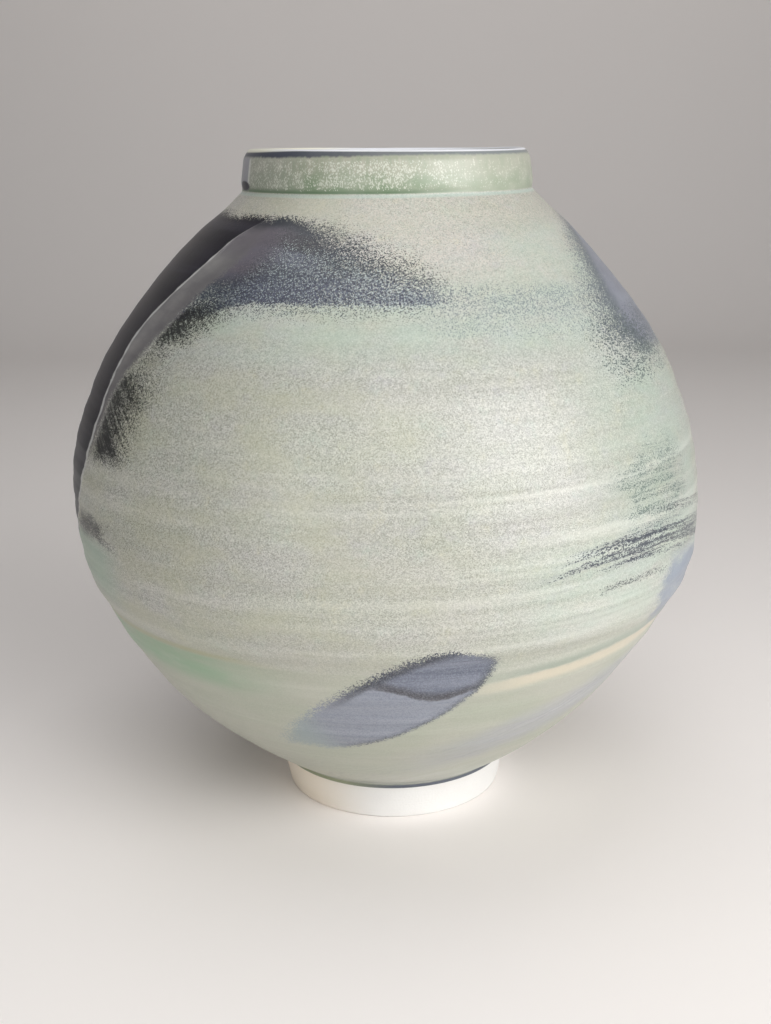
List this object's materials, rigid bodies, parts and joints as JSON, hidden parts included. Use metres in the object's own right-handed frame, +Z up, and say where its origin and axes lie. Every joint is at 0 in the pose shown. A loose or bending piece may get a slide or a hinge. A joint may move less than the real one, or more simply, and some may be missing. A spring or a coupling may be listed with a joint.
{
  "type": "korean moon jar",
  "caption": "Large round glazed porcelain jar, made as two bowls joined below the belly, with a bare foot ring, an upright collar and a bevelled lip; stands on its foot ring.",
  "frame": {"origin": "on the jar's axis, in the plane that the foot ring stands on", "axes": "+Z up along the jar's axis; -Y is the side that faces the camera in the picture, +X is to the right there"},
  "size_m": [0.3516, 0.3516, 0.367],
  "materials": {
    "bare_porcelain": "bare fired porcelain, matt",
    "porcelain_slip": "fired slip, matt",
    "porcelain_body": "fired porcelain under glaze",
    "outer_glaze": "satin glaze, pale grey green with a fine speckle and slate blue swathes",
    "liner_glaze": "satin liner glaze, pale cream"
  },
  "bodies": {
    "root": {"foot_ring": "bare_porcelain", "foot_joint_slip": "porcelain_slip", "lower_bowl": "porcelain_body", "belly_joint_slip": "porcelain_slip", "upper_bowl": "porcelain_body", "collar_joint_slip": "porcelain_slip", "collar": "porcelain_body", "outer_glaze": "outer_glaze", "inner_glaze": "liner_glaze"}
  },
  "joints": []
}
